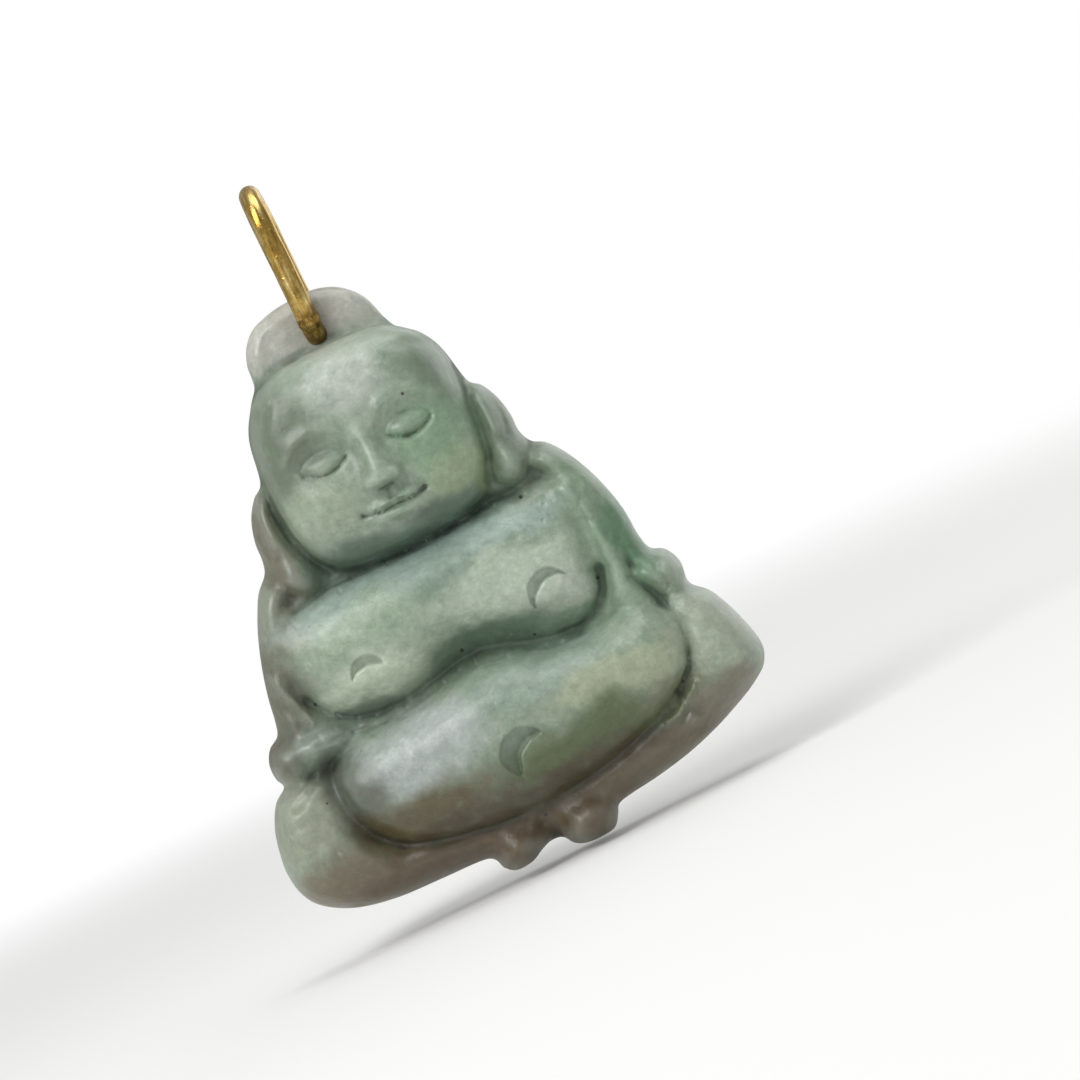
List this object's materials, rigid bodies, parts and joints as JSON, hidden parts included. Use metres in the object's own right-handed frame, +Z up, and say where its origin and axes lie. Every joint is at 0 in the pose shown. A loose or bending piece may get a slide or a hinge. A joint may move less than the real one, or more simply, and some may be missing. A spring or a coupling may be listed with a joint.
{
  "type": "jade pendant",
  "caption": "Flat-backed carved jade pendant of a seated figure that hangs and swings on an oval brass wire bail.",
  "frame": {"origin": "the point inside the top bow of the bail where a chain or cord sits", "axes": "+Z up as the pendant hangs, -Y the way the figure faces, +X to the right of someone who looks at its face"},
  "size_m": [0.0277, 0.0087, 0.0387],
  "materials": {
    "jadeite": "polished",
    "brass": "drawn wire, tarnished",
    "solder": "tarnished"
  },
  "bodies": {
    "bail": {"bail_wire": "brass", "bail_solder_seam": "solder"},
    "stone": {"jade_carving": "jadeite"}
  },
  "joints": [
    {"name": "stone_swing", "type": "hinge", "parent": "bail", "child": "stone", "pos_m": [0, 0, -0.0075], "axis": [0, 1, 0], "range_deg": [-90, 90]}
  ]
}
